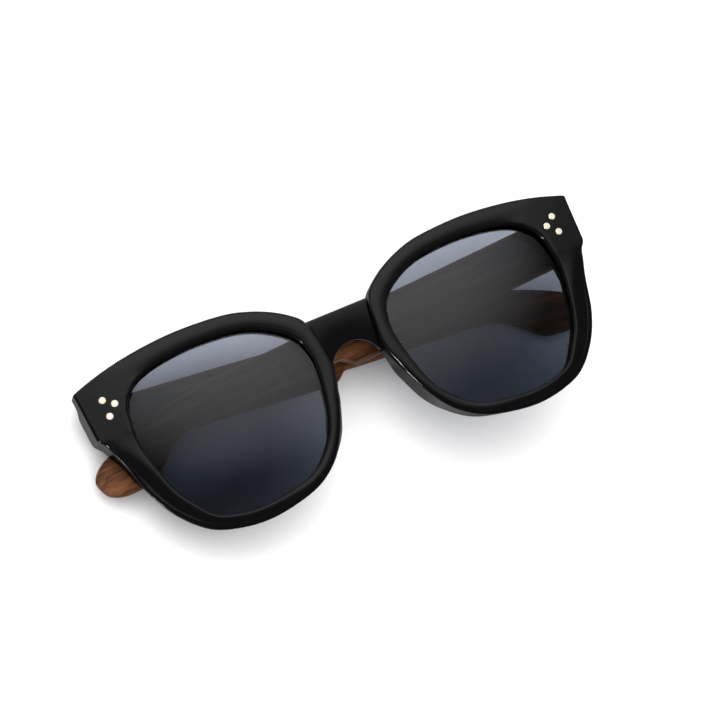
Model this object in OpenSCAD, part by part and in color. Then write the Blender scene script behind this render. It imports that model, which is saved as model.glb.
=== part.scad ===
// Sunglasses with an acetate front, smoke lenses, walnut temples and sprung hinges.
// They lie folded on their back: the temple folded last lies on the table, the front faces up.
// The front is drawn in its own frame, with X across, Y up the face and Z out of the face,
// and each temple in its hinge's frame, with X along it, Y up and Z towards its outer face.

/* [Front] */
// Width of one lens opening
eye_w = 50.8; // [47:0.1:54]
// Height of one lens opening
eye_h = 46.9; // [43:0.1:50]
// Distance between the two lens openings
bridge_w = 23.2; // [21:0.1:26]
// Reach of an end piece past its lens opening
end_w = 10.6; // [9.5:0.1:12]
// Width of the rim above a lens
rim_top = 5.4; // [4.5:0.1:7]
// Width of the rim below a lens
rim_bottom = 2.7; // [2.4:0.1:4]
// Width of the rim beside the nose
rim_nose = 4; // [3.4:0.1:5]
// Thickness of the rims
front_t = 5.2; // [4.8:0.1:6]
// How far the ends of the front fall behind its middle
wrap_sag = 2.8; // [1:0.1:5]
// Depth of the flat seat behind each end piece, from the middle of the face
seat_depth = 8.2; // [8:0.1:9.5]
// How far the bridge lies below the face of the rims
bridge_recess = 1.5; // [0.8:0.1:2]
// Height of the bridge at its middle
bridge_h = 9.1; // [7:0.1:11]
// Radius of the arch over the nose
nose_arch_r = 7.2; // [6.4:0.1:7.6]
// Drop of the rounded outer edge of the face
edge_r = 1.1; // [0.6:0.1:1.4]
// How far the wall beside the nose leans out towards its back
nose_flare = 1.4; // [0.8:0.1:1.6]
// How far the wall below an end piece leans in towards its back
wall_lean = 1; // [0.4:0.1:1.2]
// Width of the polished bevel round each lens
lens_bevel = 1.3; // [0.8:0.1:1.8]

/* [Lenses] */
// Thickness of a lens
lens_t = 2; // [1.8:0.1:2.2]
// Radius to which a lens is curved
lens_r = 220; // [150:10:400]
// Depth of a lens's middle layer below the face, at its rim
lens_depth = 2.5; // [2.4:0.05:2.7]
// Depth of the groove that holds a lens
groove_d = 1; // [0.8:0.1:1.2]
// How far the edge of a lens reaches into its groove
lens_in = 0.5; // [0.3:0.05:0.6]
// Clearance of a lens in its groove
lens_gap = 0.08; // [0.04:0.01:0.15]

/* [Rivets] */
// Diameter of a rivet
rivet_d = 1.9; // [1.6:0.1:2.4]
// Length of a rivet
rivet_l = 3; // [2:0.1:3.2]
// How far a rivet's head stands out of the face
rivet_proud = 0.15; // [0.05:0.05:0.3]

/* [Nose pads] */
// Length of a nose pad
pad_l = 12; // [10:0.5:13]
// How far a nose pad stands behind the rim
pad_d = 1.8; // [1.5:0.1:2.4]

/* [Temples] */
// Length of a temple behind its hinge axis
temple_l = 141.5; // [130:0.5:150]
// Thickness of a temple at the hinge
temple_t = 4.4; // [4:0.1:5]
// Thickness of a temple at its tip
tip_t = 2.9; // [2.6:0.1:3.2]
// Height of a temple at the hinge
butt_h = 14.4; // [13:0.1:16]
// Height of a temple behind its step
arm_h = 9.7; // [8:0.1:11]
// Height of a temple at its tip
tip_h = 11.3; // [10:0.1:13]
// Where the lower edge of a temple begins to step up
step_at = 52; // [48:1:60]
// Length of the step in the lower edge
step_l = 9; // [8:0.5:14]
// Where the upper edge of a temple begins to bend down
bend_at = 100; // [94:1:110]
// How far the bend drops at the tip
bend_drop = 7; // [4:0.1:8]
// Where the lower edge of a temple begins to drop behind the ear
hook_at = 113; // [108:1:116]
// Length of that drop
hook_l = 19; // [15:0.5:20]
// Slope of a temple below the square to its hinge axis
slope = 4.5; // [3:0.1:7]
// Rounding of a temple's long edges
temple_r = 1.2; // [0.8:0.1:1.5]
// Angle at which the temple folded first leans towards the front
fold_in = 1.6; // [1.3:0.1:1.7]
// Angle at which the temple folded last leans away from the front
fold_out = 7; // [6.6:0.1:9]

/* [Hinges] */
// Height of a hinge's middle above or below the top of an end piece
hinge_y = -6.8; // [-7:0.1:-6]
// Distance of a hinge axis inside the outer face of a temple
hinge_in = 6; // [5.8:0.1:6.4]
// Distance of a hinge axis behind the seat of the front
hinge_back = 1.6; // [1.6:0.05:1.9]
// Radius of a hinge's knuckles
knuckle_r = 1.45; // [1.3:0.05:1.5]
// Height of a hinge over all its knuckles
hinge_h = 7; // [6.4:0.1:7.6]
// Height of the slider's eye
eye_l = 2.4; // [2:0.1:2.8]
// Radius of a hinge screw
screw_r = 0.6; // [0.5:0.05:0.7]
// Running clearance on the screw and on the slider's rod
run_gap = 0.05; // [0.03:0.01:0.08]
// Clearance of the eye between the outer knuckles
side_gap = 0.06; // [0.04:0.01:0.1]
// Thickness of the hinge plate let into the front
plate_t = 0.9; // [0.7:0.1:1.1]

/* [Spring cases] */
// Length of a spring case
case_l = 12; // [11:0.5:13]
// Width of a spring case
case_w = 4.2; // [4:0.1:4.6]
// Thickness of a spring case
case_t = 3.6; // [3.5:0.1:3.8]
// How far a spring case is let into its temple
case_sink = 1.4; // [1.2:0.1:1.6]
// Where a spring case begins behind its hinge axis
case_at = 2.6; // [2.5:0.1:3]
// Radius of the slider's rod
rod_r = 0.75; // [0.65:0.05:0.8]
// Diameter of the spring wire
wire_d = 0.34; // [0.3:0.02:0.36]
// Turns of a spring
spring_turns = 10; // [8:1:11]
// Length of the tongue behind a spring case
tongue_l = 6; // [5.6:0.1:6.6]
// Thickness of that tongue
tongue_t = 0.8; // [0.6:0.1:0.9]

/* [Resting place] */
// Shift across the table that centres the folded glasses on the origin
centre_x = -1.65; // [-4:0.05:4]
// Shift along the table that centres the folded glasses on the origin
centre_y = 21.95; // [18:0.05:26]

/* [Hidden] */
$fn = 48;

// Nothing cuts flush: cutters pass their faces by this much
past = 0.5;
// Air left between pieces that are only laid together
seat_gap = 0.02;
acetate = "#15161a";
smoke = "#5b6068";
walnut = "#6b4128";
steel = "#c9c4b8";

// Middle of a lens opening, and the half width of the front
eye_x = (bridge_w + eye_w) / 2;
eye_y = 0.3 - eye_h / 2;
half_w = bridge_w / 2 + eye_w + end_w;
wrap_k = wrap_sag / (half_w * half_w);
hinge_x = half_w - 0.6 - hinge_in;
hinge_z = seat_depth + hinge_back;

// Smooth step from 0 to 1 as t runs from 0 to 1
function ease(t) = let (c = min(max(t, 0), 1)) c * c * (3 - 2 * c);
function mix(a, b, t) = a + (b - a) * t;
function unit(v) = v / norm(v);

// Face and back of the front at a point of it
function face_z(x) = -wrap_k * x * x;
function end_share(x, y) = ease((x - half_w + 15) / 4) * ease((y + 21) / 4);
function back_z(x, y) = mix(face_z(x) - front_t, -seat_depth, end_share(x, y));

// Sphere of a lens: its centre lies on the normal of the face through the lens's middle
wrap_angle = atan(2 * wrap_k * eye_x);
edge_sag = eye_h * eye_h / 8 / lens_r;
lens_mid = face_z(eye_x) - lens_depth + edge_sag;
lens_c = [eye_x - lens_r * sin(wrap_angle), eye_y, lens_mid - lens_r * cos(wrap_angle)];
function lens_z(x, y) = lens_c[2] + sqrt(lens_r * lens_r - pow(x - lens_c[0], 2) - pow(y - lens_c[1], 2));

// Rim of one lens, round from the top towards the nose: each row has a point of the opening
// as a share of its half width and height, and the step from there to the outer edge
function out(u) = end_w + (1 - u) * eye_w / 2;
rim_rows = [
    [0.12, 1, 0.2 * rim_top, rim_top],
    [-0.28, 0.975, -0.2 * rim_top, 0.95 * rim_top],
    [-0.513, 0.918, -0.45 * rim_top, 0.84 * rim_top],
    [-0.71, 0.815, -0.65 * rim_top, 0.76 * rim_top],
    [-0.865, 0.69, -rim_nose, 0.7 * rim_top],
    [-0.945, 0.575, -0.95 * rim_nose, 0.78 * rim_top],
    [-0.975, 0.48, -0.97 * rim_nose, 0.8 * rim_top],
    [-1, 0.305, -rim_nose, 0.56 * rim_top],
    [-0.975, 0.05, -1.24 * rim_nose, 0.35 * rim_nose],
    [-0.905, -0.29, -0.95 * rim_nose, 0.17 * rim_nose],
    [-0.805, -0.55, -0.78 * rim_nose, -0.12 * rim_nose],
    [-0.67, -0.76, -0.85 * rim_bottom, -0.5 * rim_bottom],
    [-0.47, -0.91, -0.42 * rim_bottom, -0.76 * rim_bottom],
    [-0.2, -0.985, -0.15 * rim_bottom, -0.92 * rim_bottom],
    [0.12, -1.013, 0, -rim_bottom],
    [0.39, -0.975, 0.35 * rim_bottom, -0.93 * rim_bottom],
    [0.597, -0.88, 0.78 * rim_bottom, -0.8 * rim_bottom],
    [0.751, -0.656, 1.63 * rim_bottom, -0.74 * rim_bottom],
    [0.887, -0.336, 0.25 * end_w + 0.115 * eye_w / 2, -1.2],
    [0.975, 0.05, 0.52 * end_w + 0.025 * eye_w / 2, -1],
    [0.995, 0.24, 0.7 * out(0.995), -0.4],
    [0.99, 0.345, 0.79 * out(0.99), -0.3],
    [0.983, 0.43, 0.925 * out(0.983), -0.2],
    [0.975, 0.5, 0.95 * out(0.975), 0.3],
    [0.955, 0.62, 0.975 * out(0.955), 2],
    [0.905, 0.73, out(0.905), 5.6],
    [0.865, 0.775, 0.95 * out(0.865), 5.8],
    [0.752, 0.877, 0.37 * out(0.75), 6.1],
    [0.511, 0.958, 0.1 * out(0.51), 1.07 * rim_top]
];
rim_n = len(rim_rows);
rim_parts = 3;

// A row as the opening's point and the outer point, and a curve through four such rows
function rim_row(i) = let (
        r = rim_rows[i % rim_n],
        x = eye_x + r[0] * eye_w / 2,
        y = eye_y + r[1] * eye_h / 2
    ) [x, y, x + r[2], y + r[3]];
function curve(a, b, c, d, t) = 0.5 * (
    2 * b + (c - a) * t + (2 * a - 5 * b + 4 * c - d) * t * t + (3 * b - a - 3 * c + d) * t * t * t
);
rim = [
    for (i = [0 : rim_n - 1])
        for (j = [0 : rim_parts - 1])
            curve(rim_row(i + rim_n - 1), rim_row(i), rim_row(i + 1), rim_row(i + 2), j / rim_parts)
];
opening = [for (r = rim) [r[0], r[1]]];

// Section of the rim from its opening to its outer edge, as one closed loop: the back, the groove
// for the lens, the polished bevel, the face, the rounded outer edge and the outer wall.
// Beside the bridge the outer edge is a broad facet.
back_r = 0.5;
groove_w = lens_t + 2 * lens_gap;
function facet(r) = 1 - ease((r[2] - 8.6) / 1.2);
// Lean of the outer wall towards its back: out beside the nose, in below the end pieces
function by_nose(r) = ease((eye_y + 2 - r[3]) / 7) * (1 - ease((r[2] - bridge_w / 2 - 2.4) / 5));
function below_end(r) = ease((r[2] - eye_x - 15) / 6) * ease((eye_y - 2 - r[3]) / 5);
function lean(r) = nose_flare * by_nose(r) - wall_lean * below_end(r);
function rim_section(r) = let (
        inner = [r[0], r[1]],
        outer = [r[2], r[3]],
        way = unit(outer - inner),
        edge = mix(edge_r, bridge_recess + 0.5, facet(r)),
        z_in = face_z(r[0]),
        z_out = face_z(r[2]),
        b_in = back_z(r[0], r[1]),
        b_out = back_z(r[2], r[3]),
        lens = lens_z(r[0], r[1]),
        steps = [
            [inner, back_r, b_in],
            [inner, 0, b_in + back_r],
            [inner, 0, lens - groove_w / 2],
            [inner, groove_d, lens - groove_w / 2],
            [inner, groove_d, lens + groove_w / 2],
            [inner, 0, lens + groove_w / 2],
            [inner, 0.08, mix(lens + groove_w / 2, z_in, 0.3)],
            [inner, 0.35 * lens_bevel, z_in - 0.3 * lens_bevel],
            [inner, lens_bevel, z_in],
            [outer, -1.5 * edge, z_out],
            [outer, -0.7 * edge, z_out - 0.2 * edge],
            [outer, -0.2 * edge, z_out - 0.55 * edge],
            [outer, 0, z_out - edge],
            [outer, lean(r), b_out + back_r],
            [outer, lean(r) - back_r, b_out]
        ]
    ) [for (s = steps) let (p = s[0] + s[1] * way) [p[0], p[1], s[2]]];

// A ring of equal sections, closed on itself
module ring(sections) {
    n = len(sections);
    m = len(sections[0]);
    points = [for (s = sections) for (p = s) p];
    faces = [
        for (i = [0 : n - 1])
            for (j = [0 : m - 1])
                let (a = i * m + j, b = i * m + (j + 1) % m, d = (i + 1) % n * m + j, c = b - a + d)
                    for (f = [[a, c, b], [a, d, c]]) f
    ];
    polyhedron(points, faces);
}

// A row of equal sections, closed by a flat end at each side
module loft(sections) {
    n = len(sections);
    m = len(sections[0]);
    points = [for (s = sections) for (p = s) p];
    sides = [
        for (i = [0 : n - 2])
            for (j = [0 : m - 1])
                let (a = i * m + j, b = i * m + (j + 1) % m, d = a + m, c = b + m)
                    for (f = [[a, c, b], [a, d, c]]) f
    ];
    first = [for (j = [1 : m - 2]) [0, j, j + 1]];
    last = [for (j = [1 : m - 2]) [(n - 1) * m, (n - 1) * m + j + 1, (n - 1) * m + j]];
    polyhedron(points, concat(first, sides, last));
}

// Loop of a rectangle with rounded corners, from low to high in both directions
function round_box(a0, a1, b0, b1, r) = [
    for (c = [[a1 - r, b1 - r, 0], [a0 + r, b1 - r, 90], [a0 + r, b0 + r, 180], [a1 - r, b0 + r, 270]])
        for (t = [0 : 30 : 90])
            [c[0] + r * cos(c[2] + t), c[1] + r * sin(c[2] + t)]
];

// The whole lies on the table on the outer face of the temple folded last
module lie() {
    lift = hinge_x * sin(fold_out) + hinge_z * cos(fold_out) + hinge_in;
    translate([centre_x, centre_y, lift]) rotate([0, -fold_out, 0]) children();
}

// The wearer's left is drawn, and the right is its mirror image
module side(right) {
    mirror([right ? 1 : 0, 0, 0]) children();
}

// A hinge's frame, at its axis with the temple folded
module at_hinge(right) {
    lean = right ? fold_out : -fold_in;
    lie() side(right) translate([hinge_x, hinge_y, -hinge_z]) rotate([0, 180 - lean, 0]) children();
}

// Bridge: a bar set below the face of the rims, arched over the nose
bridge_half = bridge_w / 2 - 2;
bridge_top = eye_y + eye_h / 2 - rim_top - 0.1;
function arch_y(x) = let (w = min(abs(x), 0.96 * nose_arch_r))
    bridge_top - bridge_h - nose_arch_r + sqrt(nose_arch_r * nose_arch_r - w * w);
module bridge() {
    loft([
        for (i = [-7 : 7])
            let (
                x = bridge_half * sin(i * 90 / 7),
                low = face_z(x) - front_t + 0.3,
                loop = round_box(arch_y(x), bridge_top, low, face_z(x) - bridge_recess, 0.9)
            ) [for (p = loop) [x, p[0], p[1]]]
    ]);
}

// Seats of the three rivets, as steps from the hinge axis
rivet_at = [[0.3, 2.9], [-2.3, 0.9], [0.2, -1.7]];
module at_rivets() {
    for (p = rivet_at)
        let (x = hinge_x + p[0])
            translate([x, hinge_y + p[1], face_z(x)]) rotate([0, atan(2 * wrap_k * x), 0]) children();
}

// Space of the hinge plate in the back of the front, and of the pegs that anchor it
plate_in = 4.4;
plate_out = 1.5;
peg_r = 0.7;
peg_l = 1.6;
module hinge_plate(grow) {
    translate([hinge_x - plate_in - grow, hinge_y - hinge_h / 2 - grow, -seat_depth - (grow > 0 ? past : 0)])
        cube([plate_in + plate_out + 2 * grow, hinge_h + 2 * grow, plate_t + grow + (grow > 0 ? past : 0)]);
    for (v = [-2.2, 2.2])
        translate([hinge_x - plate_in + 1.3, hinge_y + v, -seat_depth + plate_t / 2])
            cylinder(r = peg_r + grow, h = plate_t / 2 + peg_l + grow);
}

module front_frame() {
    color(acetate) lie() difference() {
        union() {
            ring([for (r = rim) rim_section(r)]);
            mirror([1, 0, 0]) ring([for (r = rim) rim_section(r)]);
            bridge();
        }
        for (right = [false, true])
            side(right) {
                at_rivets() translate([0, 0, rivet_proud - rivet_l - seat_gap])
                    cylinder(d = rivet_d + 2 * seat_gap, h = rivet_l + past);
                hinge_plate(seat_gap);
            }
    }
}

// A lens: its outline, a little larger than the opening, cut from a spherical shell
function grown(loop, d) = [
    for (i = [0 : len(loop) - 1])
        let (n = len(loop), t = unit(loop[(i + 1) % n] - loop[(i + n - 1) % n])) loop[i] + d * [t[1], -t[0]]
];
module lens(right) {
    color(smoke) lie() side(right) intersection() {
        translate([0, 0, -seat_depth - 5]) linear_extrude(2 * seat_depth) polygon(grown(opening, lens_in));
        translate(lens_c) difference() {
            sphere(r = lens_r + lens_t / 2);
            sphere(r = lens_r - lens_t / 2);
        }
    }
}
module left_lens() { lens(false); }
module right_lens() { lens(true); }

// Rivets: blind metal pins with flat polished heads
module rivets(right) {
    color(steel) lie() side(right) at_rivets() translate([0, 0, rivet_proud]) rotate_extrude() polygon([
        [0, 0],
        [rivet_d / 2 - rivet_proud, 0],
        [rivet_d / 2, -rivet_proud],
        [rivet_d / 2, -rivet_l],
        [0, -rivet_l]
    ]);
}
module left_rivets() { rivets(false); }
module right_rivets() { rivets(true); }

// Nose pads: drops of acetate on the back of the rims, slanting with them beside the nose
pad_x = bridge_w / 2 + 1;
pad_y = eye_y - 9.8;
pad_r = 1.8;
pad_slant = 24;
module nose_pad(right) {
    flat = back_z(pad_x + 2 * pad_r, pad_y) - seat_gap;
    reach = pad_l / 2 - pad_r;
    color(acetate) lie() side(right) translate([pad_x, pad_y, flat]) rotate(pad_slant) intersection() {
        hull() {
            translate([0, reach, pad_r - pad_d]) sphere(r = 0.85 * pad_r, $fn = 24);
            translate([0, -reach, pad_r - pad_d]) sphere(r = pad_r, $fn = 24);
        }
        translate([-2 * pad_r, -pad_l, -10]) cube([4 * pad_r, 2 * pad_l, 10]);
    }
}
module left_nose_pad() { nose_pad(false); }
module right_nose_pad() { nose_pad(true); }

// Front half of a hinge: a plate with pegs, let into the front, and two knuckles on a web
module front_hinge(right) {
    knuckle_h = (hinge_h - eye_l) / 2 - side_gap;
    color(steel) lie() side(right) difference() {
        union() {
            hinge_plate(0);
            for (v = [-hinge_h / 2, hinge_h / 2 - knuckle_h]) {
                translate([hinge_x, hinge_y + v, -hinge_z]) rotate([-90, 0, 0])
                    cylinder(r = knuckle_r, h = knuckle_h);
                translate([hinge_x - knuckle_r, hinge_y + v, -hinge_z])
                    cube([2 * knuckle_r, knuckle_h, hinge_back + plate_t / 2]);
            }
        }
        translate([hinge_x, hinge_y - hinge_h, -hinge_z]) rotate([-90, 0, 0])
            cylinder(r = screw_r + seat_gap, h = 2 * hinge_h);
    }
}
module left_front_hinge() { front_hinge(false); }
module right_front_hinge() { front_hinge(true); }

// Hinge screw: a slotted head on the upper knuckle, and a shank through all three
head_h = 0.7;
head_r = 1.15;
module hinge_screw(right) {
    color(steel) lie() side(right) translate([hinge_x, hinge_y, -hinge_z]) rotate([-90, 0, 0]) difference() {
        union() {
            translate([0, 0, -hinge_h / 2]) cylinder(r = screw_r, h = hinge_h + seat_gap);
            translate([0, 0, hinge_h / 2 + seat_gap]) cylinder(r = head_r, h = head_h);
        }
        translate([-head_r, -0.15, hinge_h / 2 + head_h / 2]) cube([2 * head_r, 0.3, head_h]);
    }
}
module left_hinge_screw() { hinge_screw(false); }
module right_hinge_screw() { hinge_screw(true); }

// Spring case: let into the temple's inner face, with a chamber for the spring behind its front wall
temple_in = hinge_in - temple_t;
case_top = temple_in + case_sink - case_t;
rod_z = case_top + case_t / 2;
wall_t = 0.7;
chamber_r = case_t / 2 - 0.35;
chamber_at = case_at + wall_t;
chamber_end = case_at + case_l - wall_t;
stop_h = 1.1;
stop_at = chamber_end - 0.3 - stop_h;
tongue_w = 3.2;
tongue_at = case_at + case_l;
screw_at = [tongue_at + 1.4, tongue_at + tongue_l - 1.4];
case_screw_r = 0.5;
case_screw_l = 2.2;
module along_rod(from) { translate([from, 0, rod_z]) rotate([0, 90, 0]) children(); }
module spring_case(right) {
    color(steel) at_hinge(right) difference() {
        union() {
            translate([case_at, -case_w / 2, case_top]) cube([case_l, case_w, case_t]);
            translate([tongue_at - past, -tongue_w / 2, temple_in - tongue_t])
                cube([tongue_l + past - tongue_w / 2, tongue_w, tongue_t - seat_gap]);
            translate([tongue_at + tongue_l - tongue_w / 2, 0, temple_in - tongue_t])
                cylinder(d = tongue_w, h = tongue_t - seat_gap);
        }
        along_rod(chamber_at) cylinder(r = chamber_r, h = chamber_end - chamber_at);
        along_rod(case_at - past) cylinder(r = rod_r + run_gap, h = wall_t + 2 * past);
        for (s = screw_at)
            translate([s, 0, temple_in - tongue_t - past])
                cylinder(r = case_screw_r + seat_gap, h = tongue_t + 2 * past);
    }
}
module left_spring_case() { spring_case(false); }
module right_spring_case() { spring_case(true); }

// Screws that hold a case's tongue to the wood
module case_screws(right) {
    color(steel) at_hinge(right)
        for (s = screw_at)
            translate([s, 0, temple_in - tongue_t - seat_gap]) {
                translate([0, 0, -0.4]) cylinder(r = 0.95, h = 0.4);
                cylinder(r = case_screw_r, h = tongue_t + case_screw_l);
            }
}
module left_case_screws() { case_screws(false); }
module right_case_screws() { case_screws(true); }

// Slider: an eye on the hinge screw, a neck and a rod through the case's front wall
neck_t = 1.5;
neck_w = 2.2;
neck_room = 0.3;
module hinge_slider(right) {
    color(steel) at_hinge(right) difference() {
        union() {
            rotate([90, 0, 0]) cylinder(r = knuckle_r, h = eye_l, center = true);
            translate([0, -neck_w / 2, rod_z - neck_t / 2]) cube([case_at - side_gap, neck_w, neck_t]);
            along_rod(case_at / 2) cylinder(r = rod_r, h = stop_at + stop_h - case_at / 2);
        }
        rotate([90, 0, 0]) cylinder(r = screw_r + run_gap, h = 2 * eye_l, center = true);
    }
}
module left_hinge_slider() { hinge_slider(false); }
module right_hinge_slider() { hinge_slider(true); }

// Stop on the rod's end, against which the spring pushes
module spring_stop(right) {
    color(steel) at_hinge(right) along_rod(stop_at) difference() {
        cylinder(r = chamber_r - run_gap, h = stop_h);
        translate([0, 0, -past]) cylinder(r = rod_r + seat_gap, h = stop_h + 2 * past);
    }
}
module left_spring_stop() { spring_stop(false); }
module right_spring_stop() { spring_stop(true); }

// Spring: one unbroken coil of wire round the rod, between the front wall and the stop
coil_r = (rod_r + run_gap + chamber_r) / 2;
coil_l = stop_at - chamber_at - wire_d - 2 * run_gap;
coil_steps = 12;
module spring(right) {
    rings = spring_turns * coil_steps;
    color(steel) at_hinge(right) along_rod(chamber_at + run_gap + wire_d / 2) loft([
        for (i = [0 : rings])
            let (turn = i * 360 / coil_steps)
                [
                    for (t = [0 : 60 : 300])
                        let (r = coil_r + wire_d / 2 * cos(t))
                            [r * cos(turn), r * sin(turn), coil_l * i / rings + wire_d / 2 * sin(t)]
                ]
    ]);
}
module left_spring() { spring(false); }
module right_spring() { spring(true); }

// Temple: upper edge, lower edge and both faces at a distance behind the hinge axis
temple_top = 5.9;
butt_at = -hinge_back + 0.3;
tip_l = 5.5;
function edge_top(p) = temple_top - bend_drop * pow(max(p - bend_at, 0) / (temple_l - bend_at), 2);
function edge_bottom(p) = p < (step_at + hook_at) / 2
    ? temple_top - mix(butt_h, arm_h, ease((p - step_at) / step_l))
    : temple_top - mix(arm_h, bend_drop + tip_h, ease((p - hook_at) / hook_l));
thinned = (temple_t - tip_t) / 2;
function inner_face(p) = hinge_in - temple_t + thinned * ease(p / temple_l);
function outer_face(p) = hinge_in - thinned * ease((p - hook_at + 8) / (temple_l - hook_at - tip_l + 4));
// Section there, lowered by the slope and drawn in by the given amount where an end is rounded off
function temple_section(p, in) = let (
        top = edge_top(p) - 0.6 * in,
        bottom = edge_bottom(p) + in,
        thin = min(in, 1.6) * 0.6,
        r = min(temple_r, 0.45 * (tip_t - 2 * thin)),
        loop = round_box(bottom, top, inner_face(p) + thin, outer_face(p) - thin, r)
    ) [for (q = loop) [p, q[0] - p * tan(slope), q[1]]];
module temple(right) {
    butt_edge = 0.5;
    flat_end = temple_l - tip_l;
    sections = concat(
        [[butt_at, butt_edge], [butt_at + 0.3 * butt_edge, 0.3 * butt_edge], [butt_at + butt_edge, 0]],
        [for (i = [1 : 5]) [mix(butt_at + butt_edge, step_at, i / 5), 0]],
        [for (i = [1 : 6]) [step_at + step_l * i / 6, 0]],
        [for (i = [1 : 18]) [mix(step_at + step_l, flat_end, i / 18), 0]],
        [for (a = [15 : 15 : 90]) [flat_end + tip_l * sin(a), tip_l * (1 - cos(a)) * 0.65]]
    );
    color(walnut) at_hinge(right) difference() {
        loft([for (s = sections) temple_section(s[0], s[1])]);
        translate([case_at - seat_gap, -case_w / 2 - seat_gap, case_top])
            cube([case_l + 2 * seat_gap, case_w + 2 * seat_gap, case_t + seat_gap]);
        translate([butt_at - past, -neck_w / 2 - neck_room, 0])
            cube([case_at - butt_at + 2 * past, neck_w + 2 * neck_room, rod_z + neck_t / 2 + neck_room]);
        for (s = screw_at)
            translate([s, 0, 0]) cylinder(r = case_screw_r + seat_gap, h = temple_in + case_screw_l);
    }
}
module left_temple() { temple(false); }
module right_temple() { temple(true); }

front_frame();
left_lens();
right_lens();
left_nose_pad();
right_nose_pad();
left_rivets();
right_rivets();
left_front_hinge();
right_front_hinge();
left_hinge_screw();
right_hinge_screw();
left_hinge_slider();
right_hinge_slider();
left_spring_stop();
right_spring_stop();
left_spring();
right_spring();
left_spring_case();
right_spring_case();
left_case_screws();
right_case_screws();
left_temple();
right_temple();
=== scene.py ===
import math

import bmesh
import bpy
from mathutils import Euler, Matrix, Vector


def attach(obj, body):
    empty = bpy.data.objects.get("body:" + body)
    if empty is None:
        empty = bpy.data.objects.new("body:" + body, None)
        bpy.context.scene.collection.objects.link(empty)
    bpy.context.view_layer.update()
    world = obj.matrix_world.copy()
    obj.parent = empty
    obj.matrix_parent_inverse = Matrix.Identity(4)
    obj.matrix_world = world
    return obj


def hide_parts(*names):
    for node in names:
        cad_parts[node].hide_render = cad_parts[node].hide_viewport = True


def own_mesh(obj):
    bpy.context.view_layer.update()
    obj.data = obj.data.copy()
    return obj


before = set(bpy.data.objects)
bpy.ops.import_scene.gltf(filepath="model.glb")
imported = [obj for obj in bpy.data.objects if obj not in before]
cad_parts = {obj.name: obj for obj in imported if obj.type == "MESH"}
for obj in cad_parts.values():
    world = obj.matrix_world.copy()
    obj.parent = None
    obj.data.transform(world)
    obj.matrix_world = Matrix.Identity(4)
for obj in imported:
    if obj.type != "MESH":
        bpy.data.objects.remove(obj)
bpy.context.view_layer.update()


# Front: two rims, milled from a sheet of black acetate, heated to a gentle wrap and tumbled to a
# deep polish. The end pieces rise to a corner, and a bevel rolls into each lens.
# Sizes are in millimetres: X across, Y up the face and Z out of it, before the front is laid down.
FOLD_OUT = math.radians(7.0)
HINGE_X, HINGE_Y, HINGE_Z, HINGE_IN = 66.4, -6.8, 9.8, 6.0
LIFT = HINGE_X * math.sin(FOLD_OUT) + HINGE_Z * math.cos(FOLD_OUT) + HINGE_IN
FRONT_X, FRONT_Y = -1.65, 21.95
LAID = Matrix.Translation((FRONT_X, FRONT_Y, LIFT)) @ Matrix.Rotation(-FOLD_OUT, 4, "Y")
MM = 0.001


def laid(x, y, z, turned=LAID):
    return turned @ Vector((x, y, z)) * MM


EYE_W, EYE_H, BRIDGE_W, END_W = 50.8, 46.9, 23.2, 10.6
RIM_TOP, RIM_BOTTOM, RIM_NOSE, FRONT_T = 5.4, 3.2, 4.0, 5.2
EDGE_R, LENS_BEVEL, BACK_R, BRIDGE_RECESS, SEAT_DEPTH = 0.8, 0.8, 0.5, 1.5, 8.2
EYE_TOP, WRAP_DEPTH = 0.3, 2.8
EYE_X, EYE_Y = (BRIDGE_W + EYE_W) / 2, EYE_TOP - EYE_H / 2
HALF_W = BRIDGE_W / 2 + EYE_W + END_W
WRAP = WRAP_DEPTH / HALF_W**2


def ease(t):
    """A smooth step from 0 to 1."""
    t = min(max(t, 0.0), 1.0)
    return t * t * (3 - 2 * t)


def mix(a, b, t):
    return a + (b - a) * t


def face_z(x):
    return -WRAP * x * x


# The end pieces are thicker behind, where the hinges sit
SEAT_W, SEAT_LOW, SEAT_BLEND = 15, -21, 4


def back_z(x, y):
    end = ease((x - HALF_W + SEAT_W) / SEAT_BLEND) * ease((y - SEAT_LOW) / SEAT_BLEND)
    return mix(face_z(x) - FRONT_T, -SEAT_DEPTH, end)


def to_end(u):
    """From a point of the opening to the outer end of the front."""
    return END_W + (1 - u) * EYE_W / 2


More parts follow.
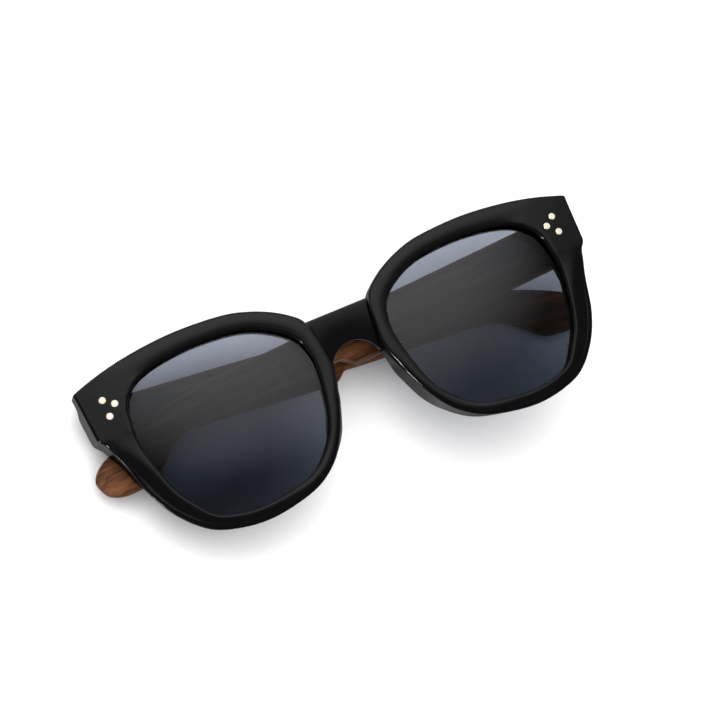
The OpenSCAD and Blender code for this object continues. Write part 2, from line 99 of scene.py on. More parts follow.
# Each row: a point of the lens opening as a share of its half size, and the step to the outer edge
RIM_ROWS = [
    (0.12, 1, 0.2 * RIM_TOP, RIM_TOP),
    (-0.28, 0.975, -0.2 * RIM_TOP, 0.95 * RIM_TOP),
    (-0.513, 0.918, -0.45 * RIM_TOP, 0.84 * RIM_TOP),
    (-0.71, 0.815, -0.65 * RIM_TOP, 0.76 * RIM_TOP),
    (-0.865, 0.69, -RIM_NOSE, 0.7 * RIM_TOP),
    (-0.945, 0.575, -0.95 * RIM_NOSE, 0.78 * RIM_TOP),
    (-0.975, 0.48, -0.97 * RIM_NOSE, 0.8 * RIM_TOP),
    (-1, 0.305, -RIM_NOSE, 0.56 * RIM_TOP),
    (-0.975, 0.05, -1.24 * RIM_NOSE, 0.35 * RIM_NOSE),
    (-0.905, -0.29, -0.95 * RIM_NOSE, 0.17 * RIM_NOSE),
    (-0.805, -0.55, -0.78 * RIM_NOSE, -0.12 * RIM_NOSE),
    (-0.67, -0.76, -0.76 * RIM_BOTTOM, -0.48 * RIM_BOTTOM),
    (-0.47, -0.91, -0.42 * RIM_BOTTOM, -0.76 * RIM_BOTTOM),
    (-0.2, -0.985, -0.15 * RIM_BOTTOM, -0.92 * RIM_BOTTOM),
    (0.12, -1.013, 0, -RIM_BOTTOM),
    (0.39, -0.975, 0.35 * RIM_BOTTOM, -0.93 * RIM_BOTTOM),
    (0.597, -0.88, 0.78 * RIM_BOTTOM, -0.8 * RIM_BOTTOM),
    (0.751, -0.656, 1.38 * RIM_BOTTOM, -0.63 * RIM_BOTTOM),
    (0.887, -0.336, 0.25 * END_W + 0.115 * EYE_W / 2, -1.2),
    (0.975, 0.05, 0.52 * END_W + 0.025 * EYE_W / 2, -1),
    (0.995, 0.24, 0.7 * to_end(0.995), -0.4),
    (0.99, 0.345, 0.79 * to_end(0.99), -0.3),
    (0.983, 0.43, 0.925 * to_end(0.983), -0.2),
    (0.975, 0.5, 0.95 * to_end(0.975), 0.3),
    (0.955, 0.62, 0.975 * to_end(0.955), 2),
    (0.905, 0.73, to_end(0.905), 5.6),
    (0.865, 0.775, 0.95 * to_end(0.865), 5.8),
    (0.752, 0.877, 0.37 * to_end(0.75), 6.1),
    (0.511, 0.958, 0.1 * to_end(0.51), 1.07 * RIM_TOP),
]


def rim_row(i):
    u, v, dx, dy = RIM_ROWS[i % len(RIM_ROWS)]
    x, y = EYE_X + u * EYE_W / 2, EYE_Y + v * EYE_H / 2
    return Vector((x, y, x + dx, y + dy))


def curved(a, b, c, d, t):
    """A smooth curve from b to c, with a and d as its neighbours."""
    square, cube = 2 * a - 5 * b + 4 * c - d, 3 * b - a - 3 * c + d
    return 0.5 * (2 * b + (c - a) * t + square * t**2 + cube * t**3)


ROW_STEPS = 8
RIM = [
    curved(rim_row(i - 1), rim_row(i), rim_row(i + 1), rim_row(i + 2), j / ROW_STEPS)
    for i in range(len(RIM_ROWS))
    for j in range(ROW_STEPS)
]
# The corner of the end piece, between these rows, is filed round
CORNER_FROM, CORNER_TO, CORNER_PASSES = 24 * ROW_STEPS + 3, 27 * ROW_STEPS - 3, 10
for _ in range(CORNER_PASSES):
    for i in range(CORNER_FROM, CORNER_TO):
        for c in (2, 3):
            RIM[i][c] = (RIM[i - 1][c] + 2 * RIM[i][c] + RIM[i + 1][c]) / 4
# The lower rim comes up over the lens
RIM_LIP, RIM_LIFT = 1.2, 0.4
LIP_TOP, LIP_BLEND = EYE_Y - 10, 8
for row in RIM:
    by_cheek = ease((LIP_TOP - row[1]) / LIP_BLEND)
    row[1], row[3] = row[1] + RIM_LIP * by_cheek, row[3] + RIM_LIFT * by_cheek

LENS_T, LENS_R, LENS_DEPTH, GROOVE_D, GROOVE_GAP = 2.0, 220.0, 2.5, 1.0, 0.08
WRAP_ANGLE = math.atan(2 * WRAP * EYE_X)
LENS_MID = face_z(EYE_X) - LENS_DEPTH + EYE_H**2 / 8 / LENS_R
LENS_C = Vector(
    (EYE_X - LENS_R * math.sin(WRAP_ANGLE), EYE_Y, LENS_MID - LENS_R * math.cos(WRAP_ANGLE))
)


def lens_z(x, y, r=LENS_R):
    return LENS_C.z + math.sqrt(r * r - (x - LENS_C.x) ** 2 - (y - LENS_C.y) ** 2)


# Towards the back the outer wall spreads beside the nose and at the ends, and leans in below
NOSE_FLARE, END_FLARE, WALL_LEAN = 1.1, 0.7, 0.8
NOSE_SIDE = BRIDGE_W / 2


def wall_spread(row):
    x, y = row[2], row[3]
    by_nose = ease((EYE_Y + 2 - y) / 7) * (1 - ease((x - NOSE_SIDE - 0.5) / 6))
    below = ease((x - NOSE_SIDE - 5) / 13) * ease((EYE_Y - 2 - y) / 5)
    at_end = ease((x - HALF_W + 5) / 4) * ease((EYE_Y + 21 - y) / 4)
    return NOSE_FLARE * by_nose + END_FLARE * at_end - WALL_LEAN * below


# Widths of the rolled edges at the brow and at the cheek, and how far the face bulges and slopes
ROLL_IN_BROW, ROLL_IN_CHEEK = 1.0, 0.7
ROLL_OUT_BROW, ROLL_OUT_CHEEK = 0.9, 1.6
CROWN, CHEEK_SLOPE = 0.03, 0.1
# Nearer the middle than this the outer edge falls below the face of the bridge
FACET_X, FACET_BLEND, FACET_BELOW = 8.6, 1.2, 0.5
LENS_LIP = 0.15


def rim_section(row):
    """The loop of a section: the back, the groove, the roll into the lens, the face, the outer wall."""
    inner, outer = Vector((row[0], row[1])), Vector((row[2], row[3]))
    width = (outer - inner).length
    outwards = (outer - inner) / width
    facet = 1 - ease((row[2] - FACET_X) / FACET_BLEND)
    edge = mix(EDGE_R, BRIDGE_RECESS + FACET_BELOW, facet)
    z_in, z_out = face_z(row[0]), face_z(row[2])
    b_in, b_out = back_z(row[0], row[1]), back_z(row[2], row[3])
    low = lens_z(row[0], row[1]) - LENS_T / 2 - GROOVE_GAP
    high = low + LENS_T + 2 * GROOVE_GAP
    fall = min(LENS_BEVEL, z_in - high - LENS_LIP)
    lower = ease((EYE_Y + 6 - row[1]) / 12)
    narrow = 1 - ease((width - 6) / 4)
    roll_in = mix(ROLL_IN_BROW, ROLL_IN_CHEEK, lower) * math.tanh(width / 2)
    roll_out = mix(ROLL_OUT_BROW, ROLL_OUT_CHEEK, lower) * math.tanh(width / 2)
    flat = width - roll_in - roll_out
    crown = CROWN * flat * narrow
    slope = CHEEK_SLOPE * flat * lower * ease((row[0] - EYE_X + 15) / 15) * narrow
    spread = wall_spread(row)
    points = []
    for k in range(4):
        a = math.radians(30 * k)
        points.append((BACK_R * (1 - math.sin(a)), b_in + BACK_R * (1 - math.cos(a))))
    points += [(0, mix(b_in + BACK_R, low, 0.1)), (0, low), (GROOVE_D, low), (GROOVE_D, high), (0, high)]
    for k in range(10):
        a = math.radians(10 * k)
        points.append((roll_in * (1 - math.cos(a)), z_in - crown - (fall - crown) * (1 - math.sin(a))))
    for k in range(1, 8):
        t = k / 8
        z = mix(z_in, z_out, t) - crown * (2 * t - 1) ** 2 - slope * t
        points.append((mix(roll_in, width - roll_out, t), z))
    shoulder = z_out - crown - slope
    for k in range(11):
        a = math.radians(9 * k)
        drop = (edge - crown - slope) * (1 - math.cos(a))
        points.append((width - roll_out * (1 - math.sin(a)), shoulder - drop))
    for t in (0.06, 0.94):
        points.append((width + spread * t, mix(z_out - edge, b_out + BACK_R, t)))
    for k in range(4):
        a = math.radians(30 * k)
        points.append((width + spread - BACK_R * (1 - math.cos(a)), b_out + BACK_R * (1 - math.sin(a))))
    return [(*(inner + step * outwards), z) for step, z in points]


def draw_out(name, rings):
    """A skin drawn out ring by ring from a circle; it stays in edit mode."""
    bpy.ops.object.select_all(action="DESELECT")
    bpy.ops.mesh.primitive_circle_add(vertices=len(rings[0]), radius=0.01)
    piece = bpy.context.object
    piece.name = piece.data.name = name
    bpy.ops.object.mode_set(mode="EDIT")
    bpy.ops.mesh.select_mode(type="EDGE")
    bpy.ops.mesh.select_all(action="SELECT")
    edit = bmesh.from_edit_mesh(piece.data)
    edit.verts.index_update()
    place = {v.index: v.index for v in edit.verts}
    for v in edit.verts:
        v.co = rings[0][v.index]
    for ring in rings[1:]:
        bpy.ops.mesh.extrude_edges_move()
        edit = bmesh.from_edit_mesh(piece.data)
        edit.verts.index_update()
        drawn = {}
        for v in edit.verts:
            if v.select:
                fixed = [e.other_vert(v) for e in v.link_edges if not e.other_vert(v).select]
                drawn[v.index] = place[fixed[0].index]
        for v in edit.verts:
            if v.index in drawn:
                v.co = ring[drawn[v.index]]
        place = drawn
    bmesh.update_edit_mesh(piece.data)
    bpy.ops.mesh.select_all(action="SELECT")
    return piece


SMOOTH_ANGLE = math.radians(40)


def finish_skin(piece, ends=True):
    """Closes the skin, turns its faces outwards and leaves edit mode."""
    bpy.ops.mesh.remove_doubles(threshold=1e-6)
    if ends:
        bpy.ops.mesh.fill_holes(sides=0)
    bpy.ops.mesh.select_all(action="SELECT")
    bpy.ops.mesh.normals_make_consistent(inside=False)
    bpy.ops.object.mode_set(mode="OBJECT")
    bpy.ops.object.shade_smooth_by_angle(angle=SMOOTH_ANGLE)


def rim(name, sign):
    sections = [rim_section(row) for row in RIM]
    loops = [[laid(sign * x, y, z) for x, y, z in loop] for loop in zip(*sections)]
    piece = draw_out(name, loops + loops[:1])
    finish_skin(piece, ends=False)
    return piece


front = rim("front_frame_acetate", 1)
other_rim = rim("other_rim", -1)

# The bridge is a bar set below the face of the rims, arched over the nose and falling towards it
BRIDGE_H, NOSE_ARCH_R, BRIDGE_EDGE, BRIDGE_FALL = 9.1, 7.2, 0.9, 0.9
FALL_DEPTH, BACK_RECESS, ARCH_SHARE = 2, 0.3, 0.96
BRIDGE_HALF = BRIDGE_W / 2 - 2
BRIDGE_TOP = EYE_Y + EYE_H / 2 - RIM_TOP - 0.1


def round_box(a0, a1, b0, b1, r, steps):
    """The loop of a box with round corners."""
    corners = [(a1 - r, b1 - r, 0), (a0 + r, b1 - r, 90), (a0 + r, b0 + r, 180), (a1 - r, b0 + r, 270)]
    loop = []
    for ca, cb, start in corners:
        for k in range(steps + 1):
            t = math.radians(start + 90 * k / steps)
            loop.append((ca + r * math.cos(t), cb + r * math.sin(t)))
    return loop


def bridge_section(x):
    w = min(abs(x), ARCH_SHARE * NOSE_ARCH_R)
    arch = BRIDGE_TOP - BRIDGE_H - NOSE_ARCH_R + math.sqrt(NOSE_ARCH_R**2 - w * w)
    top = face_z(x) - BRIDGE_RECESS
    loop = round_box(arch, BRIDGE_TOP, face_z(x) - FRONT_T + BACK_RECESS, top, BRIDGE_EDGE, 6)
    section = []
    for y, z in loop:
        near_face = ease((z - top + FALL_DEPTH) / FALL_DEPTH)
        section.append(laid(x, y, z - BRIDGE_FALL * near_face * (BRIDGE_TOP - y) / BRIDGE_H))
    return section


across_bridge = [BRIDGE_HALF * math.sin(math.radians(5 * i)) for i in range(-18, 19)]
bar = draw_out("bridge", [bridge_section(x) for x in across_bridge])
finish_skin(bar)


def weld(piece, other):
    join = piece.modifiers.new("weld", "BOOLEAN")
    join.operation, join.solver, join.object = "UNION", "EXACT", other
    bpy.ops.object.select_all(action="DESELECT")
    bpy.context.view_layer.objects.active = piece
    bpy.ops.object.modifier_apply(modifier=join.name)
    bpy.data.objects.remove(other)


weld(front, bar)
weld(front, other_rim)
front.select_set(True)
bpy.ops.object.shade_smooth_by_angle(angle=SMOOTH_ANGLE)


def hex_colour(code):
    parts = [int(code[i : i + 2], 16) / 255 for i in (1, 3, 5)]
    return (*[p / 12.92 if p <= 0.04045 else ((p + 0.055) / 1.055) ** 2.4 for p in parts], 1.0)


def new_material(name):
    material = bpy.data.materials.new(name)
    material.use_nodes = True
    return material, material.node_tree.nodes["Principled BSDF"]


def add_node(tree, kind, settings=(), links=()):
    node = tree.nodes.new(kind)
    for key, value in dict(settings).items():
        if hasattr(node, str(key)):
            setattr(node, key, value)
        else:
            node.inputs[key].default_value = value
    for key, source in dict(links).items():
        tree.links.new(source, node.inputs[key])
    return node


# Cellulose acetate, tumbled in wood chips: jet black with a soft-edged clear gloss. The gloss is
# held down at glancing angles, where the walls of the front look dark.
acetate, shader = new_material("polished black acetate")
shader.inputs["Base Color"].default_value = hex_colour("#060607")
shader.inputs["Specular IOR Level"].default_value = 0.0
tree = acetate.node_tree
glance = add_node(tree, "ShaderNodeFresnel", {"IOR": 1.4})
EDGE_GLOSS = 0.1
held = add_node(tree, "ShaderNodeMath", {"operation": "MINIMUM", 1: EDGE_GLOSS}, {0: glance.outputs[0]})
polish = add_node(tree, "ShaderNodeBsdfGlossy", {"Roughness": 0.14})
coat = add_node(
    tree, "ShaderNodeMixShader", {}, {0: held.outputs[0], 1: shader.outputs[0], 2: polish.outputs[0]}
)
tree.links.new(coat.outputs[0], tree.nodes["Material Output"].inputs["Surface"])
front.data.materials.append(acetate)
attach(front, "front")
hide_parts("front_frame")


# Lenses: smoke sun lenses of cellulose triacetate, cut to the opening and snapped into the groove.
# They are bent to a large sphere, and painted shade darkens the tint towards the cheek.
# How far the lens reaches into the groove, and the rings of its face as shares of its outline
LENS_IN = 0.5
LENS_SHARES = [0.02, 0.2, 0.4, 0.58, 0.74, 0.88, 0.96]


def lens(name, sign):
    outline = []
    for i, row in enumerate(RIM):
        before, after = RIM[i - 1], RIM[(i + 1) % len(RIM)]
        run = Vector((after[0] - before[0], after[1] - before[1])).normalized()
        outline.append((row[0] + LENS_IN * run.y, row[1] - LENS_IN * run.x))

    def loop(share, r):
        points = [(mix(EYE_X, x, share), mix(EYE_Y, y, share)) for x, y in outline]
        return [laid(sign * x, y, lens_z(x, y, r)) for x, y in points]

    back, face = LENS_R - LENS_T / 2, LENS_R + LENS_T / 2
    rings = [loop(s, back) for s in LENS_SHARES] + [loop(1, back), loop(1, face)]
    rings += [loop(s, face) for s in reversed(LENS_SHARES)]
    piece = draw_out(name, rings)
    finish_skin(piece)
    return piece


# Dyed triacetate: clear enough to see through, with a thin reflection of the room on both faces
smoke = bpy.data.materials.new("smoke triacetate")
smoke.use_nodes = True
tree = smoke.node_tree
tree.nodes.clear()
where = add_node(tree, "ShaderNodeTexCoord")
apart = add_node(tree, "ShaderNodeSeparateXYZ", {}, {"Vector": where.outputs["Object"]})
# The dye is even; the darkening towards the cheek is painted shade, for the shaded table seen through it
PAINTED_SHADE_LOW, PAINTED_SHADE_HIGH = -0.025, 0.022
painted_shade_by_height = add_node(
    tree,
    "ShaderNodeMapRange",
    {"From Min": PAINTED_SHADE_LOW, "From Max": PAINTED_SHADE_HIGH},
    {"Value": apart.outputs["Y"]},
)
tint_and_painted_shade = add_node(tree, "ShaderNodeValToRGB", {}, {"Fac": painted_shade_by_height.outputs["Result"]})
tint_and_painted_shade.color_ramp.elements[0].color = hex_colour("#757a85")
tint_and_painted_shade.color_ramp.elements[1].color = hex_colour("#c2c6cf")
through = add_node(tree, "ShaderNodeBsdfTransparent", {}, {"Color": tint_and_painted_shade.outputs["Color"]})
shine = add_node(tree, "ShaderNodeBsdfGlossy", {"Roughness": 0.03})
gloss = add_node(tree, "ShaderNodeFresnel", {"IOR": 1.5})
both = add_node(
    tree, "ShaderNodeMixShader", {}, {0: gloss.outputs[0], 1: through.outputs[0], 2: shine.outputs[0]}
)
add_node(tree, "ShaderNodeOutputMaterial", {}, {"Surface": both.outputs[0]})
for side, sign in (("left", 1), ("right", -1)):
    piece = lens(f"{side}_sun_lens", sign)
    piece.data.materials.append(smoke)
    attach(piece, "front")
    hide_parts(f"{side}_lens")


# Rivets: three nickel-silver pins in each end piece, which hold the hinge plate behind it. They are
# pressed through the acetate, faced off and polished just proud of it.
RIVET_R, RIVET_L, RIVET_PROUD = 0.95, 3.0, 0.15
RIVET_STEPS = [(0.3, 2.9), (-2.3, 0.9), (0.2, -1.7)]
RIVET_SMOOTH = math.radians(12)
# Nickel silver under a soft polish: a pale, warm, almost even white
nickel, shader = new_material("polished nickel silver")
shader.inputs["Base Color"].default_value = hex_colour("#fbf0dc")
shader.inputs["Metallic"].default_value = 0.7
shader.inputs["Roughness"].default_value = 0.35


def rivet(name, sign, step):
    x, y = HINGE_X + step[0], HINGE_Y + step[1]
    bpy.ops.object.select_all(action="DESELECT")
    bpy.ops.mesh.primitive_cylinder_add(vertices=40, radius=RIVET_R * MM, depth=RIVET_L * MM)
    piece = bpy.context.object
    piece.name = piece.data.name = name
    chamfer = piece.modifiers.new("edge", "BEVEL")
    chamfer.width, chamfer.segments, chamfer.limit_method = RIVET_PROUD * MM, 3, "ANGLE"
    bpy.ops.object.modifier_apply(modifier=chamfer.name)
    with_wrap = Matrix.Rotation(sign * math.atan(2 * WRAP * x), 4, "Y")
    seat = Matrix.Translation((sign * x, y, face_z(x))) @ with_wrap
    seat = LAID @ seat @ Matrix.Translation((0, 0, RIVET_PROUD - RIVET_L / 2))
    piece.location, piece.rotation_euler = seat.translation * MM, seat.to_euler()
    bpy.ops.object.transform_apply(location=True, rotation=True, scale=True)
    bpy.ops.object.shade_smooth_by_angle(angle=RIVET_SMOOTH)
    piece.data.materials.append(nickel)
    return piece


for side, sign in (("left", 1), ("right", -1)):
    for i, step in enumerate(RIVET_STEPS):
        piece = rivet(f"{side}_rivet_{i + 1}", sign, step)
        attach(piece, "front")
        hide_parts(f"{side}_rivets")


# Nose pads: drops of the same acetate, moulded with a flat back, glued behind the rims beside the
# nose and polished with them.
PAD_X, PAD_Y, PAD_L, PAD_D, PAD_R = NOSE_SIDE + 1.7, EYE_Y - 9.8, 12.0, 1.8, 1.8
PAD_END, PAD_GLUE, PAD_SLANT = 0.25, 0.02, math.radians(24)


def nose_pad(name, sign):
    bpy.ops.object.select_all(action="DESELECT")
    bpy.ops.mesh.primitive_uv_sphere_add(segments=48, ring_count=24, radius=1.0)
    piece = bpy.context.object
    piece.name = piece.data.name = name
    bpy.ops.object.mode_set(mode="EDIT")
    bpy.ops.mesh.select_all(action="SELECT")
    bpy.ops.transform.resize(value=(PAD_R, PAD_L / 2 - PAD_END, PAD_D))
    bpy.ops.mesh.bisect(plane_co=(0, 0, 0), plane_no=(0, 0, 1), clear_outer=True, use_fill=True)
    bpy.ops.object.mode_set(mode="OBJECT")
    flat = back_z(PAD_X + 2 * PAD_R, PAD_Y) - PAD_GLUE
    slanted = Matrix.Rotation(sign * PAD_SLANT, 4, "Z")
    seat = LAID @ Matrix.Translation((sign * PAD_X, PAD_Y, flat)) @ slanted
    for v in piece.data.vertices:
        v.co = (seat @ v.co) * MM
    bpy.ops.object.shade_smooth_by_angle(angle=SMOOTH_ANGLE)
    piece.data.materials.append(acetate)
    return piece


for side, sign in (("left", 1), ("right", -1)):
    piece = nose_pad(f"{side}_nose_rest", sign)
    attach(piece, "front")
    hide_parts(f"{side}_nose_pad")


# Hinges: turned and stamped nickel silver, plated and lightly brushed. The plates are pressed into
# the front, the spring cases let into the wood, and each coil works on its rod inside its case.
def metal(name, colour, roughness):
    material, shader = new_material(name)
    shader.inputs["Base Color"].default_value = hex_colour(colour)
    shader.inputs["Metallic"].default_value = 1.0
    shader.inputs["Roughness"].default_value = roughness
    return material


# Brushed pieces have a soft pale sheen, the plated ones a dark one, and the wire is duller
satin = metal("satin nickel silver", "#c9c6bf", 0.36)
plated = metal("black nickel plate", "#4a4a4d", 0.34)
wire = metal("drawn spring wire", "#a9a9a8", 0.4)
HINGE_METALS = {
    "front_hinge": satin,
    "hinge_screw": satin,
    "hinge_slider": satin,
    "spring_stop": satin,
    "spring_case": plated,
    "case_screws": plated,
    "spring": wire,
}
for side in ("left", "right"):
    for name, material in HINGE_METALS.items():
        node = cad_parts[f"{side}_{name}"]
        node.data.materials.clear()
        node.data.materials.append(material)

# A folded temple's own frame: X along it from its hinge, Y up and Z out of its outer face
FOLD_IN = math.radians(1.6)


def folded(sign, angle):
    hinge = Matrix.Translation((HINGE_X, HINGE_Y, -HINGE_Z)) @ Matrix.Rotation(math.pi - angle, 4, "Y")
    return LAID @ Matrix.Diagonal((sign, 1, 1, 1)) @ hinge


FOLDED = {"left": folded(1, -FOLD_IN), "right": folded(-1, FOLD_OUT)}

# Each coil gets a mesh of its own; in the real hinge it shortens as its rod is drawn out of the case
for side, seat in FOLDED.items():
    coil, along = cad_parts[f"{side}_spring"], seat.to_3x3().col[0].normalized()
    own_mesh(coil)


# Temples: boards of solid walnut, sawn with the grain along them, shaped with a step in the lower
# edge and a broad bent tip, sanded round at the edges and oiled.
TEMPLE_L, TEMPLE_T, TIP_T, TIP_L = 143.3, 4.4, 2.9, 5.0
BUTT_H, ARM_H, ARM_TAPER, TIP_H = 13.7, 9.7, 0.9, 8.2
STEP_AT, STEP_L, BEND_AT, BEND_DROP, HOOK_AT, HOOK_L = 63.5, 5.5, 100.0, 10.0, 113.0, 20.0
TEMPLE_R, BUTT_AT, BEND_POWER = 1.2, -1.3, 2.2
# The end is drawn in all round, less in thickness, and the lower edge of the tip lags behind
TIP_ROUND, TOP_ROUND, THIN_ROUND, THIN_LIMIT, TIP_LAG = 0.6, 0.9, 0.6, 1.6, 0.4
# Folded, the two boards lie at slightly different heights and slopes
TEMPLE_TOP = {"left": 5.2, "right": 5.0}
SLOPE = {"left": math.radians(3.5), "right": math.radians(4.2)}


def edge_top(p):
    return -BEND_DROP * (max(p - BEND_AT, 0) / (TEMPLE_L - BEND_AT)) ** BEND_POWER


def edge_bottom(p):
    past_step = p - STEP_AT - STEP_L
    arm = ARM_H + ARM_TAPER * (1 - ease(past_step / (HOOK_AT - STEP_AT - STEP_L)))
    if p < HOOK_AT:
        return -mix(BUTT_H, arm, ease((p - STEP_AT) / STEP_L))
    return -mix(arm, BEND_DROP + TIP_H, ease((p - HOOK_AT) / HOOK_L))


def board_section(p, drawn_in, side, turned):
    top = edge_top(p) - TOP_ROUND * drawn_in
    bottom = edge_bottom(p) + drawn_in
    thin = min(drawn_in, THIN_LIMIT) * THIN_ROUND
    thinned = (TEMPLE_T - TIP_T) / 2
    inner = HINGE_IN - TEMPLE_T + thinned * ease(p / TEMPLE_L) + thin
    outer = HINGE_IN - thinned * ease((p - HOOK_AT + 8) / (TEMPLE_L - HOOK_AT - TIP_L + 4)) - thin
    corner = min(TEMPLE_R, 0.45 * (TIP_T - 2 * thin))
    loop = round_box(bottom, top, inner, outer, corner, 5)
    rise = TEMPLE_TOP[side] - p * math.tan(SLOPE[side])
    lag = TIP_LAG * ease((p - HOOK_AT - 3) / (TEMPLE_L - HOOK_AT - 3))
    return [laid(p - lag * (edge_top(p) - y), y + rise, z, turned) for y, z in loop]


def board(name, side, turned):
    """The board drawn out from butt to tip; each station is a place and how far it is drawn in."""
    flat_end = TEMPLE_L - TIP_L
    stations = [(BUTT_AT, 0.5), (BUTT_AT + 0.15, 0.15), (BUTT_AT + 0.5, 0)]
    stations += [(mix(BUTT_AT + 0.5, STEP_AT, i / 12), 0) for i in range(1, 13)]
    stations += [(STEP_AT + STEP_L * i / 14, 0) for i in range(1, 15)]
    stations += [(mix(STEP_AT + STEP_L, flat_end, i / 36), 0) for i in range(1, 37)]
    for i in range(1, 13):
        a = math.radians(7.5 * i)
        stations.append((flat_end + TIP_L * math.sin(a), TIP_L * (1 - math.cos(a)) * TIP_ROUND))
    piece = draw_out(name, [board_section(p, drawn_in, side, turned) for p, drawn_in in stations])
    finish_skin(piece)
    return piece


# Oiled walnut: brown with long dark growth bands and short open pores along the grain, and only a
# faint sheen. Bands and pores are given by their length and width in millimetres.
BAND_L, BAND_W, PORE_L, PORE_W = 45, 2.2, 10, 0.8


def walnut(name, turned):
    material, shader = new_material(name)
    tree = material.node_tree
    where = add_node(tree, "ShaderNodeTexCoord")
    per_mm = (1 / MM, 1 / MM, 1 / MM)
    along = add_node(
        tree,
        "ShaderNodeMapping",
        {"vector_type": "POINT", "Rotation": turned.to_3x3().inverted().to_euler(), "Scale": per_mm},
        {"Vector": where.outputs["Object"]},
    )
    bands = add_node(
        tree,
        "ShaderNodeMapping",
        {"Scale": (1 / BAND_L, 1 / BAND_W, 1 / BAND_W)},
        {"Vector": along.outputs[0]},
    )
    pores = add_node(
        tree,
        "ShaderNodeMapping",
        {"Scale": (1 / PORE_L, 1 / PORE_W, 1 / PORE_W)},
        {"Vector": along.outputs[0]},
    )
    growth = add_node(
        tree,
        "ShaderNodeTexNoise",
        {"Scale": 1.0, "Detail": 4.0, "Roughness": 0.6},
        {"Vector": bands.outputs[0]},
    )
    fine = add_node(
        tree,
        "ShaderNodeTexNoise",
        {"Scale": 1.0, "Detail": 2.0, "Roughness": 0.5},
        {"Vector": pores.outputs[0]},
    )
    body = add_node(tree, "ShaderNodeValToRGB", {}, {"Fac": growth.outputs["Fac"]})
    dark, light = body.color_ramp.elements
    dark.position, dark.color = 0.32, hex_colour("#3a200f")
    light.position, light.color = 0.7, hex_colour("#75492b")
    pits = add_node(tree, "ShaderNodeValToRGB", {}, {"Fac": fine.outputs["Fac"]})
    open_pore, between = pits.color_ramp.elements
    open_pore.position, open_pore.color = 0.36, hex_colour("#b3adaa")
    between.position, between.color = 0.48, hex_colour("#ffffff")
    wood = add_node(tree, "ShaderNodeMix", {"data_type": "RGBA", "blend_type": "MULTIPLY"})
    wood.inputs[0].default_value = 1.0
    tree.links.new(body.outputs["Color"], wood.inputs[6])
    tree.links.new(pits.outputs["Color"], wood.inputs[7])
    tree.links.new(wood.outputs[2], shader.inputs["Base Color"])
    shader.inputs["Roughness"].default_value = 0.55
    shader.inputs["Specular IOR Level"].default_value = 0.2
    return material


for side, sign in (("left", 1), ("right", -1)):
    piece = board(f"{side}_temple_walnut", side, FOLDED[side])
    grain = FOLDED[side] @ Matrix.Rotation(-SLOPE[side], 4, "Z") @ Matrix.Diagonal((1, 1, sign, 1))
    piece.data.materials.append(walnut(f"oiled walnut {side}", grain))
    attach(piece, f"{side}_temple")
    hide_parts(f"{side}_temple")


# Table and light: white paper under one very broad soft light, with a weak one from the upper left
# and a small one for the glints on the edges. The gloss mirrors the small one and the room.
bpy.ops.object.select_all(action="DESELECT")
bpy.ops.mesh.primitive_plane_add(size=6.0, location=(0, 0, 0))
table = bpy.context.object
table.name = "table"
paper, shader = new_material("white paper")
shader.inputs["Base Color"].default_value = hex_colour("#fbfbfb")
shader.inputs["Roughness"].default_value = 0.9
shader.inputs["Specular IOR Level"].default_value = 0.1
table.data.materials.append(paper)


def soft_light(name, place, target, size, power):
    data = bpy.data.lights.new(name, "AREA")
    data.shape, data.size, data.energy = "DISK", size, power
    lamp = bpy.data.objects.new(name, data)
    lamp.location = place
    lamp.rotation_euler = (Vector(target) - Vector(place)).to_track_quat("-Z", "Y").to_euler()
    bpy.context.scene.collection.objects.link(lamp)
    return lamp


key = soft_light("key", (-0.5, 0.75, 1.1), (0, 0, 0), 1.1, 4.0)
fill = soft_light("fill", (0, 0.1, 1.8), (0, 0.1, 0), 3.6, 72.0)
key.visible_glossy = fill.visible_glossy = False
glint = soft_light("glint", (-1.0, -0.28, 0.56), (0, 0, 0), 0.14, 5.0)
glint.visible_diffuse = False

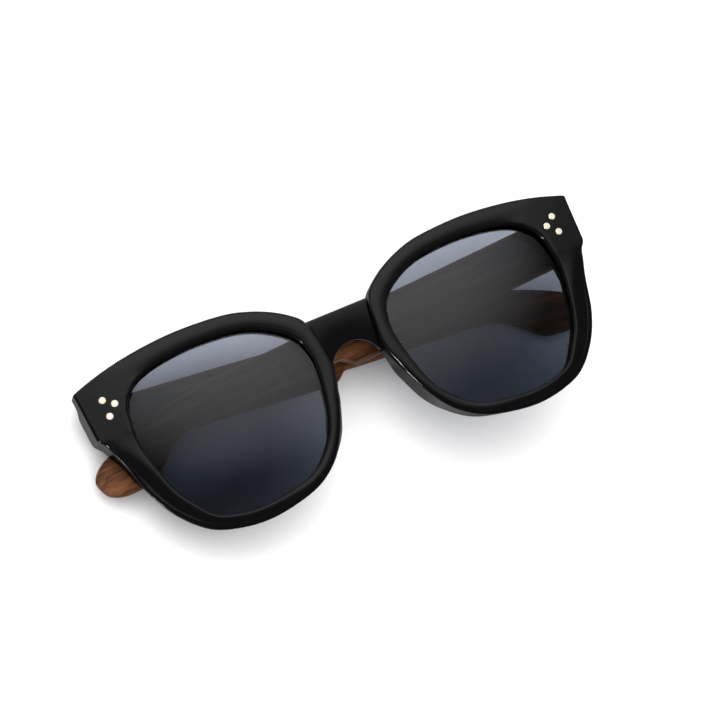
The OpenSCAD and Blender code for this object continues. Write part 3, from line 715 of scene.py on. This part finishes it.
# The room as the gloss mirrors it: a soft patch overhead, and low walls that are bright on the far side
OVERHEAD, FAR_SIDE = Vector((0.1, 0.46, 0.88)).normalized(), Vector((0.6, 0.8, 0))
ROOM_LEVEL = 0.1
world = bpy.data.worlds.new("pale room")
bpy.context.scene.world = world
world.use_nodes = True
tree = world.node_tree
looking = add_node(tree, "ShaderNodeTexCoord")
overhead = add_node(
    tree,
    "ShaderNodeVectorMath",
    {"operation": "DOT_PRODUCT", 1: OVERHEAD},
    {0: looking.outputs["Generated"]},
)
patch = add_node(
    tree,
    "ShaderNodeMapRange",
    {"interpolation_type": "SMOOTHSTEP", "From Min": 0.87, "From Max": 0.996, "To Max": 1.6},
    {"Value": overhead.outputs["Value"]},
)
up = add_node(tree, "ShaderNodeSeparateXYZ", {}, {"Vector": looking.outputs["Generated"]})
low_down = add_node(
    tree,
    "ShaderNodeMapRange",
    {"interpolation_type": "SMOOTHSTEP", "From Min": 0.5, "From Max": 0.28},
    {"Value": up.outputs["Z"]},
)
across = add_node(
    tree,
    "ShaderNodeVectorMath",
    {"operation": "DOT_PRODUCT", 1: FAR_SIDE},
    {0: looking.outputs["Generated"]},
)
far = add_node(
    tree,
    "ShaderNodeMapRange",
    {"interpolation_type": "SMOOTHSTEP", "From Min": -0.4, "From Max": 0.5, "To Min": 0.12},
    {"Value": across.outputs["Value"]},
)
walls = add_node(
    tree,
    "ShaderNodeMath",
    {"operation": "MULTIPLY"},
    {0: low_down.outputs["Result"], 1: far.outputs["Result"]},
)
bright = add_node(
    tree, "ShaderNodeMath", {"operation": "MAXIMUM"}, {0: patch.outputs["Result"], 1: walls.outputs[0]}
)
level = add_node(tree, "ShaderNodeMath", {"operation": "MAXIMUM", 1: ROOM_LEVEL}, {0: bright.outputs[0]})
tree.links.new(level.outputs[0], tree.nodes["Background"].inputs["Strength"])
tree.nodes["Background"].inputs["Color"].default_value = (1, 1, 1, 1)

bpy.context.scene.view_settings.view_transform = "Standard"

# Camera: a long lens from above and to the left, as the photograph was taken
eye = bpy.data.cameras.new("camera")
eye.sensor_width, eye.lens = 36.0, 125.019
eye.clip_start, eye.clip_end = 0.01, 20.0
camera = bpy.data.objects.new("camera", eye)
CAMERA_PLACE, CAMERA_TURN = (-0.251872, -0.113261, 0.620879), (18.918, -16.2175, -26.1754)
camera.location = CAMERA_PLACE
camera.rotation_euler = Euler([math.radians(a) for a in CAMERA_TURN], "XYZ")
bpy.context.scene.collection.objects.link(camera)
bpy.context.scene.camera = camera
